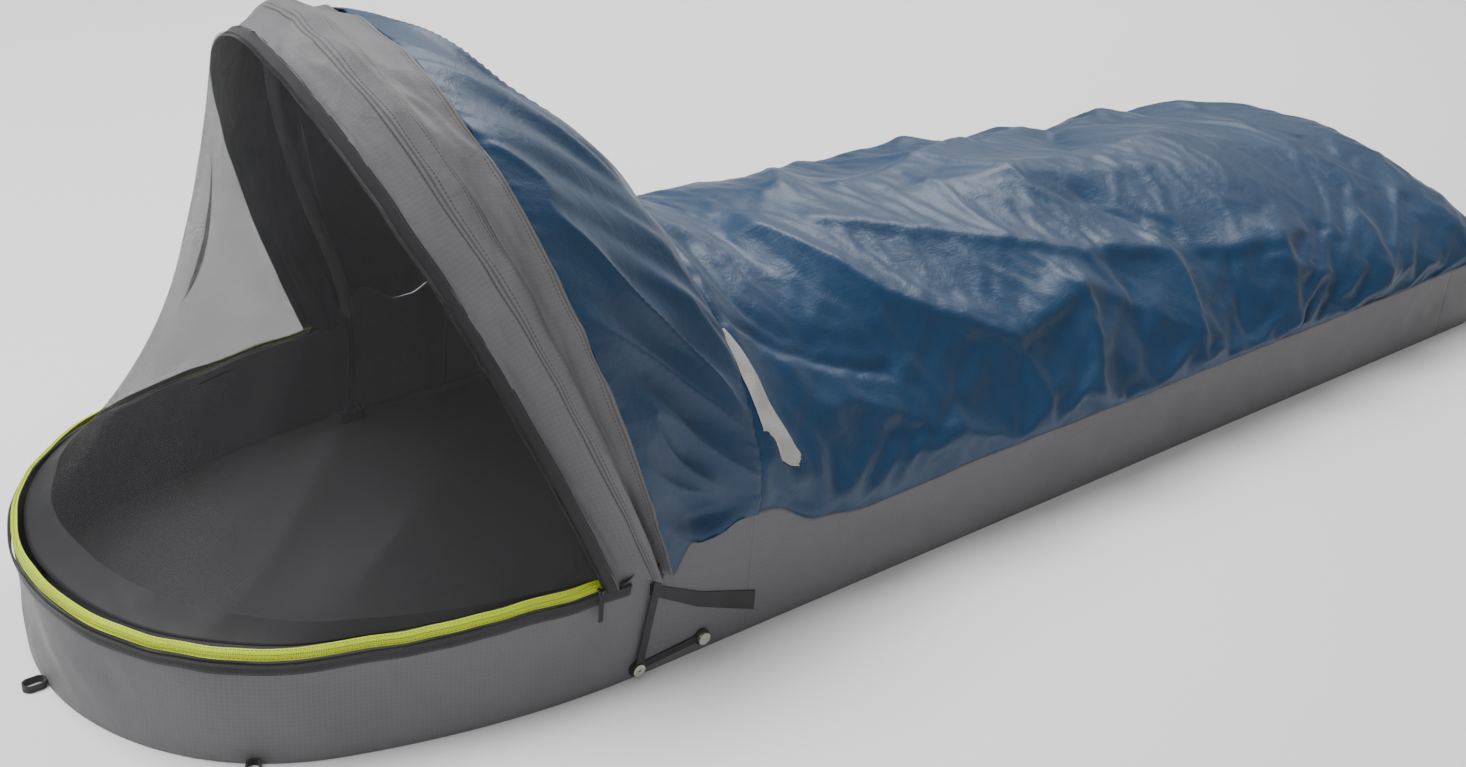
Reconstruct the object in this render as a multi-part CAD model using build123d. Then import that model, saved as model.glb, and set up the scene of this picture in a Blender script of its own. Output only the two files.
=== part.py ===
"""Single-hoop clamshell bivy sack, pitched with its hood up.

Frame: the origin is on the ground, midway between the two front hood snaps. +X runs to the foot,
+Y to the sleeper's left and +Z up. Millimetres throughout.
Soft panels are plain thin shells, a little thicker than real cloth.
"""
from build123d import *
import math
import os

# Overall sizes
LENGTH = 2130.0            # head front to foot end
HEAD_REACH = 525.0         # head front to the snap line
WIDTH = 647.0              # across the snap line
FOOT_WIDTH = WIDTH - 43.0  # across the foot
SIDE_TURN = 19.0           # degrees that each side arc of the head outline turns
FOOT_CORNER = 60.0         # plan radius of the foot's corners
CLOTH = 1.2                # thickness of every panel
TAPE = 1.0                 # thickness of zip and seam tape
WEBBING = 1.6              # thickness of webbing
GAP = 0.4                  # clearance between pieces that move past each other
TOUCH = 0.05               # between curved pieces that are sewn together

# Bathtub
RIM_HEIGHT = 130.0         # top of the head wall
BAND_HEIGHT = 109.0        # top of the side bands
WALL_END = 30.0            # head wall meets the corner panels here
CORNER_TOP = RIM_HEIGHT + 28.0   # top of the corner panels
CORNER_END = 150.0         # corner panels meet the side bands here
FOOT_BAND_START = 130.0    # foot band reaches this far forward from the foot end
FLOOR_TAPE_WIDTH = 12.0
CANOPY_TAPE = (16.0, 2.0)  # lower and upper edge, below the bands' top

# Body canopy: crest height at each share of its length, mouth to foot cap
CREST = ((0.0, 395.0), (0.1, 352.0), (0.4, 305.0), (0.72, 276.0), (1.0, 230.0))
CAP_START = 128.0          # foot cap begins this far before the foot end
CAP_CREST = ((60.0, 217.0), (22.0, 203.0), (0.0, 168.0))   # (before the foot end, height)
CAP_TUCK = 2.0             # foot cap's last section stands this far inside the outline
CANOPY_SKIRT = 40.0        # the canopy's solid reaches this far below the bands' top

# Reflective patch, seen from the side: (behind the canopy's mouth, height)
PATCH = ((4.0, 318.0), (11.0, 322.0), (40.0, 258.0), (66.0, 196.0), (57.0, 190.0), (30.0, 192.0))

# Hood arches, each in its own leaning plane:
# (base x, apex x, apex z, half width, power of the rounding)
HALF = WIDTH / 2
ARCH_BASE = RIM_HEIGHT
TAPE_ARCH = (-43.0, -273.0, 667.0, HALF + 1.5, 1.70)
EDGE_ARCH = (-31.0, -260.0, 676.0, HALF + 3.5, 1.73)
SLEEVE_ARCH = (25.0, -205.0, 691.0, HALF + 9.5, 1.95)
SEAM_ARCH = (46.0, -135.0, 664.0, HALF + 14.5, 2.15)
CROWN_ARCH = (62.0, 0.0, 585.0, HALF + 12.5, 2.15)
GUSSET_BACK = 1.0          # the gusset stops this far before the canopy's mouth
GUSSET_MIDDLE = (97.0, 487.0, HALF + 8.0, 2.10)   # its middle: base x, apex z, half width, power
GUSSET_STEP = 1.5          # from the crown to the gusset
HOOD_BASE = RIM_HEIGHT + 20.0    # lowest edge of the grey facing
CROWN_BASE = RIM_HEIGHT + 36.0   # lowest edge of the blue crown and gusset
HOOD_CLOTH = 1.3 * CLOTH   # the hood's shell, measured in each arch's plane
ARCH_POINTS = 16
ARCH_SKIRT = 60.0          # each arch's outline is closed this far below its ends

# Hoop pole
POLE_R = 4.25
POLE_WALL = 0.8
CORD_R = 1.2
FERRULE_WALL = 0.8
FERRULE_LENGTH = 70.0
SLEEVE_R = 6.2             # inside of the fabric sleeve
SECTION_SPLIT = 190.0      # the pole parts this far each side of the middle
SECTION_GAP = 0.2
POLE_FOOT_Y = HALF - 17.5  # pole tips, inside the side walls
POLE_ENTRY = (19.0, 20.0)  # enters the sleeve: inside the sleeve arch's side, above its base
POLE_SHOULDER = (38.0, 0.488)    # inside the sleeve arch's side, share of its rise
POLE_CORNER = (0.327, 20.3)      # share of the sleeve arch's half width, below its apex
POLE_BENDS = (0.62 * WIDTH, 0.96 * WIDTH, 0.29 * WIDTH)  # radii: leaving the tub, shoulder, corner
TIP_R = 1.4 * POLE_R       # ball at each pole end
POCKET_LENGTH = 34.0
POCKET_WIDTH = 22.0
POCKET_WALL = 4.0
POCKET_RISE = 2.0          # above the pole tip's middle

# Snaps and their strips
SNAP_HEIGHT = 12.0         # the hood turns about the line through the front snaps
SNAP_PITCH = 88.0          # front snap to rear snap
REAR_SNAP_RISE = 7.0       # rear snap above the front one
SNAP_CAP_R = 7.5
SNAP_FLANGE_R = 6.5
SNAP_POST_R = 3.6
SNAP_POST_LENGTH = 2.9
SNAP_PLATE = 0.8
SNAP_FIT = 0.05            # post to socket
STRIP_HEIGHT = 9.0
STRIP_TAB_R = 10.0
STRAP_WIDTH = 10.0
STRAP_TOP = (27.0, HOOD_BASE + 13.0)  # x, z where the tie strap meets the hood
STRAP_THICKNESS = 1.3
EYELET_WALL = 1.5          # socket neck round its bore
# Black strap on each corner, seen from the side: (x, height)
CORNER_STRAP = ((12.0, 104.0), (80.0, 62.0), (162.0, 26.0), (162.0, 52.0), (84.0, 80.0),
                (12.0, 118.0))

# Zips
STORM_TAPE_WIDTH = 18.0
STORM_TAPE_END = -12.0     # the rim's half of the storm zip stops here
STORM_COIL_DROP = 2.0      # below the rim
COIL = 2.4
COIL_SETBACK = 2.0         # coils stop this far before their tapes
COIL_BORDER = (1.0, 0.5)   # the hood's coil stands outside its tape, and closes under its ends
MESH_TAPE = (1.5, 13.0)    # mesh zip tape lies this far inside the outline
MESH_TAPE_END = -40.0
MESH_TAPE_LIFT = 0.5       # above the rim
MESH_COIL_AT = 6.0
MESH_EDGE_INSET = 15.0
MESH_EDGE_LIFT = 11.0      # mesh starts this far above the rim
MESH_FOOT = 26.0           # and this far up the hood's front arch
SLIDER_LENGTH = 12.0
SLIDER_WIDTH = 7.0
SLIDER_PLATE = 1.4
MESH_SLIDER_ANGLE = 3.0    # degrees round the side arc, from the snap line
STORM_SLIDER_ANGLE = 1.6
PULL_LENGTH = 34.0
PULL_WIDTH = 5.0
PULL_PIN_R = 0.8
PULL_CHEEK = 1.6
PULL_THICKNESS = 1.6
FORK_WALL = 0.4            # of the pull's fork round its pin
ARM_THICKNESS = 2.0        # of the storm slider's arm
LUG_LENGTH = 3.0           # along the zip
LUG_SIZE = 4.0             # square, across it
MESH_PIN_OUT = TAPE + COIL + 2.6         # from the outline to the pull's pin
MESH_COIL_Z = RIM_HEIGHT + MESH_TAPE_LIFT + TAPE
MESH_PIN_Z = MESH_COIL_Z + COIL + 2 * GAP + SLIDER_PLATE / 2
STORM_PIN_OUT = TAPE + COIL + GAP + 4.6
STORM_PIN_Z = RIM_HEIGHT - STORM_COIL_DROP - COIL / 2

# Stake loops
LOOP_LENGTH = 26.0
LOOP_WIDTH = 16.0
LOOP_HEIGHT = 8.0
LOOP_STAND_OFF = 0.5
HEAD_LOOP_TURN = 55.0      # degrees round the front arc from the middle

FOOT_X = LENGTH - HEAD_REACH
CANOPY_START = CORNER_END + 1.0
CANOPY_END = FOOT_X - CAP_START


def head_radii():
    """Radii of the side arcs and the front arc that together close the head outline."""
    s, c = math.sin(math.radians(SIDE_TURN)), math.cos(math.radians(SIDE_TURN))
    det = s * c - (1 - s) * (1 - c)
    side = (HEAD_REACH * c - (1 - s) * HALF) / det
    front = (s * HALF - (1 - c) * HEAD_REACH) / det
    return side, front


SIDE_R, FRONT_R = head_radii()
SIDE_CENTRE = SIDE_R - HALF              # the right side arc's centre is at y = +SIDE_CENTRE
FRONT_CENTRE = FRONT_R - HEAD_REACH


def half_width(x):
    """Half the outline's width at x, behind the snap line."""
    half = HALF + (FOOT_WIDTH - WIDTH) / 2 * x / FOOT_X
    past = x - (FOOT_X - FOOT_CORNER)
    if past > 0:
        half -= FOOT_CORNER - math.sqrt(max(FOOT_CORNER ** 2 - past ** 2, 0.0))
    return half


def side_point(angle, out=0.0):
    """Point on the right side arc, given in degrees round from the snap line, grown outward."""
    a = math.radians(270 - angle)
    return (SIDE_R + out) * math.cos(a), SIDE_CENTRE + (SIDE_R + out) * math.sin(a)


def box(x, y, z):
    """Box from its lowest and highest x, y and z."""
    size = (x[1] - x[0], y[1] - y[0], z[1] - z[0])
    return Pos(x[0], y[0], z[0]) * Box(*size, align=(Align.MIN, Align.MIN, Align.MIN))


FAR = 3000.0
RIGHT = box((-FAR, FAR), (-FAR, 0), (-FAR, FAR))


def below(z):
    """Half space under a height."""
    return box((-FAR, FAR), (-FAR, FAR), (-FAR, z))


def between(x0, x1):
    """Slice of space between two x values."""
    return box((x0, x1), (-FAR, FAR), (-FAR, FAR))


def other_side(shape):
    """The same piece on the sack's left."""
    return mirror(shape, about=Plane.XZ)


def pair(shape):
    """The right piece and its mirror image, as one node."""
    return Compound(children=[shape, other_side(shape)])


# Bathtub -----------------------------------------------------------------------------------------

def plan(out=0.0):
    """The sack's outline on the ground, grown outward or, when negative, inset."""
    half, foot, end = HALF + out, FOOT_WIDTH / 2 + out, FOOT_X + out
    edges = [
        CenterArc((0, SIDE_CENTRE), SIDE_R + out, 270, -SIDE_TURN),
        CenterArc((FRONT_CENTRE, 0), FRONT_R + out, 270 - SIDE_TURN, 2 * SIDE_TURN - 180),
        CenterArc((0, -SIDE_CENTRE), SIDE_R + out, 90 + SIDE_TURN, -SIDE_TURN),
        Line((0, half), (end, foot)),
        Line((end, foot), (end, -foot)),
        Line((end, -foot), (0, -half)),
    ]
    face = Face(Wire(edges))
    corners = [v for v in face.vertices() if v.X > end - 1]
    return face.fillet_2d(FOOT_CORNER + out, corners)


def side_prism(points):
    """Prism across the sack's right half, from its outline seen from the side."""
    outline = Polyline(*[(x, 0, z) for x, z in points], close=True)
    return extrude(Face(Wire(outline.edges())), amount=WIDTH, dir=(0, -1, 0))


def rise(face, height):
    """A flat face drawn on the ground, raised to a height."""
    return extrude(face, amount=height, dir=(0, 0, 1))


def ring(inside, outside, z0, z1):
    """Band that follows the outline, between two insets, from z0 up to z1."""
    return Pos(0, 0, z0) * rise(plan(outside) - plan(-inside), z1 - z0)


def floor_panel():
    return rise(plan(), CLOTH)


def head_wall():
    return ring(CLOTH, 0, CLOTH, RIM_HEIGHT) & between(-FAR, WALL_END)


def corner_panel():
    return ring(CLOTH, 0, CLOTH, CORNER_TOP) & between(WALL_END, CORNER_END) & RIGHT


def side_band():
    band = ring(CLOTH, 0, CLOTH, BAND_HEIGHT)
    return band & between(CORNER_END, FOOT_X - FOOT_BAND_START) & RIGHT


def foot_band():
    return ring(CLOTH, 0, CLOTH, BAND_HEIGHT) & between(FOOT_X - FOOT_BAND_START, FAR)


def floor_seam_tape():
    inner = CLOTH + GAP
    return ring(inner + FLOOR_TAPE_WIDTH, -inner, CLOTH, CLOTH + TAPE)


def canopy_seam_tape():
    low, high = CANOPY_TAPE
    tape = ring(CLOTH + TAPE, -CLOTH, BAND_HEIGHT - low, BAND_HEIGHT - high)
    return tape & between(CORNER_END + 5, CANOPY_END) & RIGHT


# Canopy ------------------------------------------------------------------------------------------

def dome(x, half, crest, inset=0.0):
    """Closed section across the sack: an arc over the bands and a skirt down inside them."""
    side, top, skirt = half - inset, crest - inset, BAND_HEIGHT - CANOPY_SKIRT
    arc = ThreePointArc((x, side, BAND_HEIGHT), (x, 0, top), (x, -side, BAND_HEIGHT))
    rest = Polyline((x, -side, BAND_HEIGHT), (x, -side, skirt), (x, side, skirt),
                    (x, side, BAND_HEIGHT))
    return Wire([arc, *rest.edges()])


def canopy_solid(inset=0.0):
    span = CANOPY_END - CANOPY_START
    places = [(CANOPY_START + share * span, crest) for share, crest in CREST]
    return Solid.make_loft([dome(x, half_width(x), crest, inset) for x, crest in places])


def body_canopy():
    return canopy_solid() - canopy_solid(CLOTH) - below(BAND_HEIGHT)


def foot_cap():
    outer, inner = [], []
    places = [(CAP_START, CREST[-1][1])] + list(CAP_CREST)
    for back, crest in places:
        x = FOOT_X - back
        half = half_width(x - CAP_TUCK)
        outer.append(dome(x, half, crest))
        inner.append(dome(x - (CLOTH if back == 0 else 0), half, crest, CLOTH))
    return Solid.make_loft(outer) - Solid.make_loft(inner) - below(BAND_HEIGHT)


def reflective_patch():
    """Long triangle on the canopy's right shoulder, narrow end up."""
    sheet = canopy_solid(-TAPE - 2 * TOUCH) - canopy_solid(-2 * TOUCH)
    return sheet & side_prism([(CANOPY_START + x, z) for x, z in PATCH])


# Hood --------------------------------------------------------------------------------------------

def arch_plane(arch):
    """The arch's plane: across the sack, and up along the lean."""
    base_x, apex_x, apex_z = arch[:3]
    run, rise = apex_x - base_x, apex_z - ARCH_BASE
    return Plane(origin=(base_x, 0, ARCH_BASE), x_dir=(0, 1, 0), z_dir=(rise, 0, -run))


def arch_rise(arch):
    """Length from the base to the apex, along the lean."""
    return math.hypot(arch[1] - arch[0], arch[2] - ARCH_BASE)


def arch_wire(arch, inset=0.0, skirt=ARCH_SKIRT, foot=0.0):
    """Rounded arch from a height above its base, closed by a skirt below, in its own plane."""
    half, height, power = arch[3] - inset, arch_rise(arch) - inset, arch[4]
    first = math.asin((foot / height) ** (power / 2))
    points = []
    for i in range(ARCH_POINTS + 1):
        t = first + (math.pi - 2 * first) * i / ARCH_POINTS
        across = math.copysign(abs(math.cos(t)) ** (2 / power), math.cos(t))
        points.append((half * across, height * abs(math.sin(t)) ** (2 / power)))
    side, low = points[0][0], points[0][1] - skirt
    rest = Polyline(points[-1], (-side, low), (side, low), points[0])
    return arch_plane(arch) * Wire([Spline(points), *rest.edges()])


def hood_solid(arches, inset=0.0):
    return Solid.make_loft([arch_wire(arch, inset) for arch in arches])


def hood_shell(arches, base):
    return hood_solid(arches) - hood_solid(arches, HOOD_CLOTH) - below(base)


def hood_facing():
    return hood_shell((EDGE_ARCH, SLEEVE_ARCH, SEAM_ARCH), HOOD_BASE)


def hood_zip_tape():
    return hood_shell((TAPE_ARCH, EDGE_ARCH), HOOD_BASE)


def hood_crown():
    return hood_shell((SEAM_ARCH, CROWN_ARCH), CROWN_BASE)


def hood_zip_coil():
    """Zip coil along the front of the hood's tape."""
    out, under = COIL_BORDER
    flat = Face(arch_wire(TAPE_ARCH, -out, under)) - Face(arch_wire(TAPE_ARCH, COIL, ARCH_SKIRT))
    normal = arch_plane(TAPE_ARCH).z_dir
    return extrude(flat, amount=COIL, dir=-normal) - below(HOOD_BASE)


def hood_gusset():
    """Blue panel that slopes from the crown down to the canopy's mouth."""
    back = CANOPY_START - GUSSET_BACK
    mid_x = (CROWN_ARCH[1] + back) / 2
    rows = []
    for inset in (0.0, CLOTH):
        front = arch_wire(shifted(CROWN_ARCH, GUSSET_STEP), inset)
        middle = arch_wire((GUSSET_MIDDLE[0], mid_x) + GUSSET_MIDDLE[1:], inset)
        end = arch_wire((back, back, CREST[0][1], half_width(back), 2.0), inset)
        rows.append(Solid.make_loft([front, middle, end]))
    return rows[0] - rows[1] - below(CROWN_BASE)


def shifted(arch, step):
    """The same arch moved along the sack."""
    return (arch[0] + step, arch[1] + step) + arch[2:]


def mesh_edges(inset):
    """The mesh's lower edge round the rim and its upper edge on the hood's front arch."""
    rim = Spline(rim_points(MESH_EDGE_INSET + inset)).edges()[0]
    arch = arch_wire(shifted(TAPE_ARCH, -2 * COIL), 3.0 + inset, 2.0, MESH_FOOT)
    return rim, max(arch.edges(), key=lambda edge: edge.length)


def mesh_screen():
    """Insect mesh from the head rim up to the hood's front edge."""
    rim, arch = mesh_edges(0.0)
    rim_in, arch_in = mesh_edges(CLOTH)
    ruled = Face.make_surface_from_curves
    faces = [ruled(rim, arch), ruled(rim_in, arch_in), ruled(rim, rim_in), ruled(arch, arch_in)]
    for end in (0, 1):
        outside = Line(rim @ end, arch @ end).edges()[0]
        inside = Line(rim_in @ end, arch_in @ end).edges()[0]
        faces.append(ruled(outside, inside))
    return Solid(Shell(faces))


def rim_points(inset):
    """Points round the head rim, from the left corner to the right one."""
    z = RIM_HEIGHT + MESH_EDGE_LIFT
    points = []
    for angle in (5, 9, 14):
        x, y = side_point(angle, -inset)
        points.append((x, -y, z))
    for angle in range(int(SIDE_TURN) + 1, 181 - int(SIDE_TURN), 10):
        a = math.radians(90 + angle)
        points.append((FRONT_CENTRE + (FRONT_R - inset) * math.cos(a),
                       (FRONT_R - inset) * math.sin(a), z))
    for angle in (14, 9, 5):
        points.append((*side_point(angle, -inset), z))
    return points


# Hoop pole ---------------------------------------------------------------------------------------

def pole_path():
    """Down inside the right wall, up the sleeve, over the hood and down the other side."""
    plane, half, top = arch_plane(SLEEVE_ARCH), SLEEVE_ARCH[3], arch_rise(SLEEVE_ARCH)
    entry = (half - POLE_ENTRY[0], POLE_ENTRY[1])
    shoulder = (half - POLE_SHOULDER[0], top * POLE_SHOULDER[1])
    corner = (half * POLE_CORNER[0], top - POLE_CORNER[1])
    right = [Vector(0, -POLE_FOOT_Y, SNAP_HEIGHT)]
    for across, up in (entry, shoulder, corner):
        right.append(plane.from_local_coords((-across, up, 0)))
    left = [Vector(p.X, -p.Y, p.Z) for p in reversed(right)]
    radii = list(POLE_BENDS) + list(reversed(POLE_BENDS))
    return FilletPolyline(*right, *left, radius=radii)


def pole_tube(path, radius, wall=0.0):
    """Tube, or rod when it has no wall, along the pole's path."""
    start = Plane(origin=path @ 0, z_dir=path % 0)
    section = Circle(radius)
    if wall:
        section = section - Circle(radius - wall)
    return sweep(start * section, path=path)


def middle(width, centre=0.0):
    """Slice of space across the sack, about a y value."""
    return box((-FAR, FAR), (centre - width / 2, centre + width / 2), (-FAR, FAR))


def pole_parts(path):
    """The centre section, the right section and the right ferrule."""
    tube = pole_tube(path, POLE_R, POLE_WALL) - Pos(0, -POLE_FOOT_Y, SNAP_HEIGHT) * Sphere(TIP_R)
    ferrule = pole_tube(path, POLE_R + FERRULE_WALL, FERRULE_WALL)
    centre = tube & middle(2 * SECTION_SPLIT)
    right = tube & box((-FAR, FAR), (-FAR, -SECTION_SPLIT - SECTION_GAP), (-FAR, FAR))
    return centre, right, ferrule & middle(FERRULE_LENGTH, -SECTION_SPLIT)


def pole_tip(path):
    """Ball end that stands in the pocket."""
    ball = Pos(0, -POLE_FOOT_Y, SNAP_HEIGHT) * Sphere(TIP_R)
    return ball - pole_tube(path, CORD_R)


def shock_cord(path):
    return pole_tube(path, CORD_R)


def pole_sleeve(path):
    """Fabric sleeve sewn under the facing, from the tub's corner over to the other."""
    return pole_tube(path, SLEEVE_R + CLOTH, CLOTH) - below(HOOD_BASE)


def pole_pocket():
    """Webbing cup on the floor that holds a pole tip and lets it rock."""
    length, width, top = POCKET_LENGTH / 2, POCKET_WIDTH / 2, SNAP_HEIGHT + POCKET_RISE
    cup = box((-length, length), (-POLE_FOOT_Y - width, -POLE_FOOT_Y + width),
              (CLOTH + TAPE, top))
    mouth = box((POCKET_WALL - length, length - POCKET_WALL),
                (-POLE_FOOT_Y + POCKET_WALL - width, -POLE_FOOT_Y + width - POCKET_WALL),
                (SNAP_HEIGHT, top + 1))
    return cup - Pos(0, -POLE_FOOT_Y, SNAP_HEIGHT) * Sphere(TIP_R + GAP) - mouth


# Snaps and straps --------------------------------------------------------------------------------

def outward(distance):
    """y of a layer that lies this far outside the right wall at the snap line."""
    return -HALF - distance


def snap_plane(near, x=0.0):
    """Plane on the right wall's outside, about the front snap or the rear one."""
    z = SNAP_HEIGHT + REAR_SNAP_RISE * x / SNAP_PITCH
    return Plane(origin=(x, outward(near), z), x_dir=(1, 0, 0), z_dir=(0, -1, 0))


def disc(x, radius, near, far, hole=0.0):
    """Disc on the right wall's outside, between two distances from it."""
    face = Circle(radius)
    if hole:
        face = face - Circle(hole)
    return extrude(snap_plane(near, x) * face, far - near)


def snap_strip():
    """Black webbing strip along the tub's foot, with a round tab at each snap."""
    half, end = STRIP_HEIGHT / 2, (SNAP_PITCH, REAR_SNAP_RISE)
    side = Polyline((0, -half), (end[0], end[1] - half), (end[0], end[1] + half), (0, half),
                    close=True)
    bar = extrude(snap_plane(0) * Face(Wire(side.edges())), WEBBING)
    tabs = [disc(x, STRIP_TAB_R, 0, WEBBING) for x in (0, SNAP_PITCH)]
    return bar + tabs[0] + tabs[1]


SOCKET_FROM = WEBBING + SNAP_PLATE + GAP
SOCKET_TO = SOCKET_FROM + SNAP_POST_LENGTH + GAP


def front_stud():
    """Stud on the strip: a plate with a post that the strap's socket turns on."""
    plate = disc(0, SNAP_FLANGE_R, WEBBING, WEBBING + SNAP_PLATE)
    post_from = WEBBING + SNAP_PLATE
    return plate + disc(0, SNAP_POST_R, post_from, post_from + SNAP_POST_LENGTH)


def snap_socket():
    """Socket on the tie strap's end: two plates, a neck through the webbing and a capped bore."""
    bore = SNAP_POST_R + SNAP_FIT
    neck = disc(0, SNAP_POST_R + EYELET_WALL, SOCKET_FROM, SOCKET_TO, bore)
    back = disc(0, SNAP_FLANGE_R, SOCKET_FROM, SOCKET_FROM + SNAP_PLATE, bore)
    cap = disc(0, SNAP_CAP_R, SOCKET_TO, SOCKET_TO + SNAP_PLATE, SNAP_POST_R / 2)
    return neck + back + cap


def rear_snap():
    """Second snap, closed by its cap."""
    foot = disc(SNAP_PITCH, SNAP_FLANGE_R, WEBBING, WEBBING + SNAP_PLATE)
    neck = disc(SNAP_PITCH, SNAP_POST_R, WEBBING + SNAP_PLATE, SOCKET_TO)
    return foot + neck + disc(SNAP_PITCH, SNAP_CAP_R, SOCKET_TO, SOCKET_TO + SNAP_PLATE)


def tie_strap():
    """Strap from the hood's corner down to the front snap."""
    near = SOCKET_FROM + SNAP_PLATE
    top_x, top_z = STRAP_TOP
    length = math.hypot(top_x, top_z - SNAP_HEIGHT)
    lean = math.degrees(math.atan2(top_x, top_z - SNAP_HEIGHT))
    flat = Rot(0, 0, -lean) * (Pos(0, length / 2) * Rectangle(STRAP_WIDTH, length))
    flat = flat + Circle(SNAP_CAP_R + 1.0) - Circle(SNAP_POST_R + EYELET_WALL)
    return extrude(snap_plane(near) * flat, STRAP_THICKNESS)


def corner_strap():
    """Black strap sewn down across the corner, wider at its lower end."""
    return ring(0, WEBBING, 0, RIM_HEIGHT) & side_prism(CORNER_STRAP)


# Zips --------------------------------------------------------------------------------------------

def rim_storm_tape():
    tape = ring(0, TAPE, RIM_HEIGHT - STORM_TAPE_WIDTH, RIM_HEIGHT)
    return tape & between(-FAR, STORM_TAPE_END)


def rim_storm_coil():
    top = RIM_HEIGHT - STORM_COIL_DROP
    coil = ring(-TAPE, TAPE + COIL, top - COIL, top)
    return coil & between(-FAR, STORM_TAPE_END - COIL_SETBACK)


def mesh_zip_tape():
    tape = ring(MESH_TAPE[1], -MESH_TAPE[0], MESH_COIL_Z - TAPE, MESH_COIL_Z)
    return tape & between(-FAR, MESH_TAPE_END)


def mesh_zip_coil():
    coil = ring(MESH_COIL_AT + COIL, -MESH_COIL_AT, MESH_COIL_Z, MESH_COIL_Z + COIL)
    return coil & between(-FAR, MESH_TAPE_END - COIL_SETBACK)


def side_block(angle, length, out0, out1, z0, z1):
    """Block that follows the right side arc: its length is along the arc."""
    half_turn = math.degrees(length / 2 / SIDE_R)
    sector = []
    for out in (out0, out1):
        sector.append(CenterArc((0, SIDE_CENTRE), SIDE_R + out, 270 - angle - half_turn,
                                2 * half_turn))
    ends = [Line(sector[0] @ 0, sector[1] @ 0), Line(sector[0] @ 1, sector[1] @ 1)]
    return Pos(0, 0, z0) * rise(Face(Wire([*sector, *ends])), z1 - z0)


def mesh_slider():
    """Slider that straddles the mesh zip's coil from above, with an eye on its outer side."""
    z = MESH_COIL_Z + GAP
    top = z + COIL + GAP
    mid = -MESH_COIL_AT - COIL / 2
    half = SLIDER_WIDTH / 2
    body = side_block(MESH_SLIDER_ANGLE, SLIDER_LENGTH, mid - half, mid + half, z,
                      top + SLIDER_PLATE)
    slot = COIL / 2 + GAP
    body -= side_block(MESH_SLIDER_ANGLE, SLIDER_LENGTH + 2, mid - slot, mid + slot, z - 1, top)
    arm = side_block(MESH_SLIDER_ANGLE, LUG_LENGTH, mid + half - 1, MESH_PIN_OUT - LUG_SIZE / 3,
                     top, top + SLIDER_PLATE)
    return body + arm + lug(MESH_SLIDER_ANGLE, MESH_PIN_OUT, MESH_PIN_Z)


def pull(angle, out, z):
    """Zip pull that hangs from a cross pin through the slider's lug."""
    x, y = side_point(angle, out)
    width = LUG_LENGTH + 2 * (PULL_CHEEK + GAP)
    half = PULL_PIN_R + FORK_WALL
    fork = box((-width / 2, width / 2), (-half, half), (-LUG_SIZE - 2, LUG_SIZE / 2))
    slot = LUG_LENGTH / 2 + GAP
    fork -= box((-slot, slot), (-LUG_SIZE, LUG_SIZE), (-LUG_SIZE * 0.5 ** 0.5 - GAP, LUG_SIZE))
    tab = box((-PULL_WIDTH / 2, PULL_WIDTH / 2), (-PULL_THICKNESS / 2, PULL_THICKNESS / 2),
              (-LUG_SIZE - PULL_LENGTH, -LUG_SIZE))
    pin = Rot(0, 90, 0) * Cylinder(PULL_PIN_R, width)
    return Pos(x, y, z) * Rot(0, 0, -angle) * (fork + tab + pin)


def lug(angle, out, z):
    """Lug that a pull hangs from, with its pin hole."""
    x, y = side_point(angle, out)
    block = Box(LUG_LENGTH, LUG_SIZE, LUG_SIZE)
    hole = Rot(0, 90, 0) * Cylinder(PULL_PIN_R + SNAP_FIT, LUG_LENGTH + 1)
    return Pos(x, y, z) * Rot(0, 0, -angle) * (block - hole)


def mesh_pull():
    """Pull that hangs from the mesh slider's arm, outside the wall."""
    return pull(MESH_SLIDER_ANGLE, MESH_PIN_OUT, MESH_PIN_Z)


def storm_pull():
    return other_side(pull(STORM_SLIDER_ANGLE, STORM_PIN_OUT, STORM_PIN_Z))


def storm_slider():
    """Slider on the storm zip's coil, outside the rim at the left corner."""
    near = TAPE + GAP
    out = TAPE + COIL + GAP
    mid = STORM_PIN_Z
    half = SLIDER_WIDTH / 2
    body = side_block(STORM_SLIDER_ANGLE, SLIDER_LENGTH, near, out + SLIDER_PLATE,
                      mid - half, mid + half)
    slot = COIL / 2 + GAP
    body -= side_block(STORM_SLIDER_ANGLE, SLIDER_LENGTH + 2, near - 1, out, mid - slot,
                       mid + slot)
    arm = side_block(STORM_SLIDER_ANGLE, LUG_LENGTH, out, STORM_PIN_OUT - LUG_SIZE / 3,
                     mid - ARM_THICKNESS / 2, mid + ARM_THICKNESS / 2)
    return other_side(body + arm + lug(STORM_SLIDER_ANGLE, STORM_PIN_OUT, STORM_PIN_Z))


# Stake loops -------------------------------------------------------------------------------------

def stake_loop(x, y, heading):
    """Webbing loop that lies on the ground and points away from the sack."""
    outer = SlotOverall(LOOP_LENGTH, LOOP_WIDTH)
    inner = SlotOverall(LOOP_LENGTH - 2 * WEBBING, LOOP_WIDTH - 2 * WEBBING)
    loop = rise(outer - inner, LOOP_HEIGHT)
    return Pos(x, y, 0) * Rot(0, 0, heading) * Pos(LOOP_LENGTH / 2 + TOUCH, 0, 0) * loop


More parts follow.
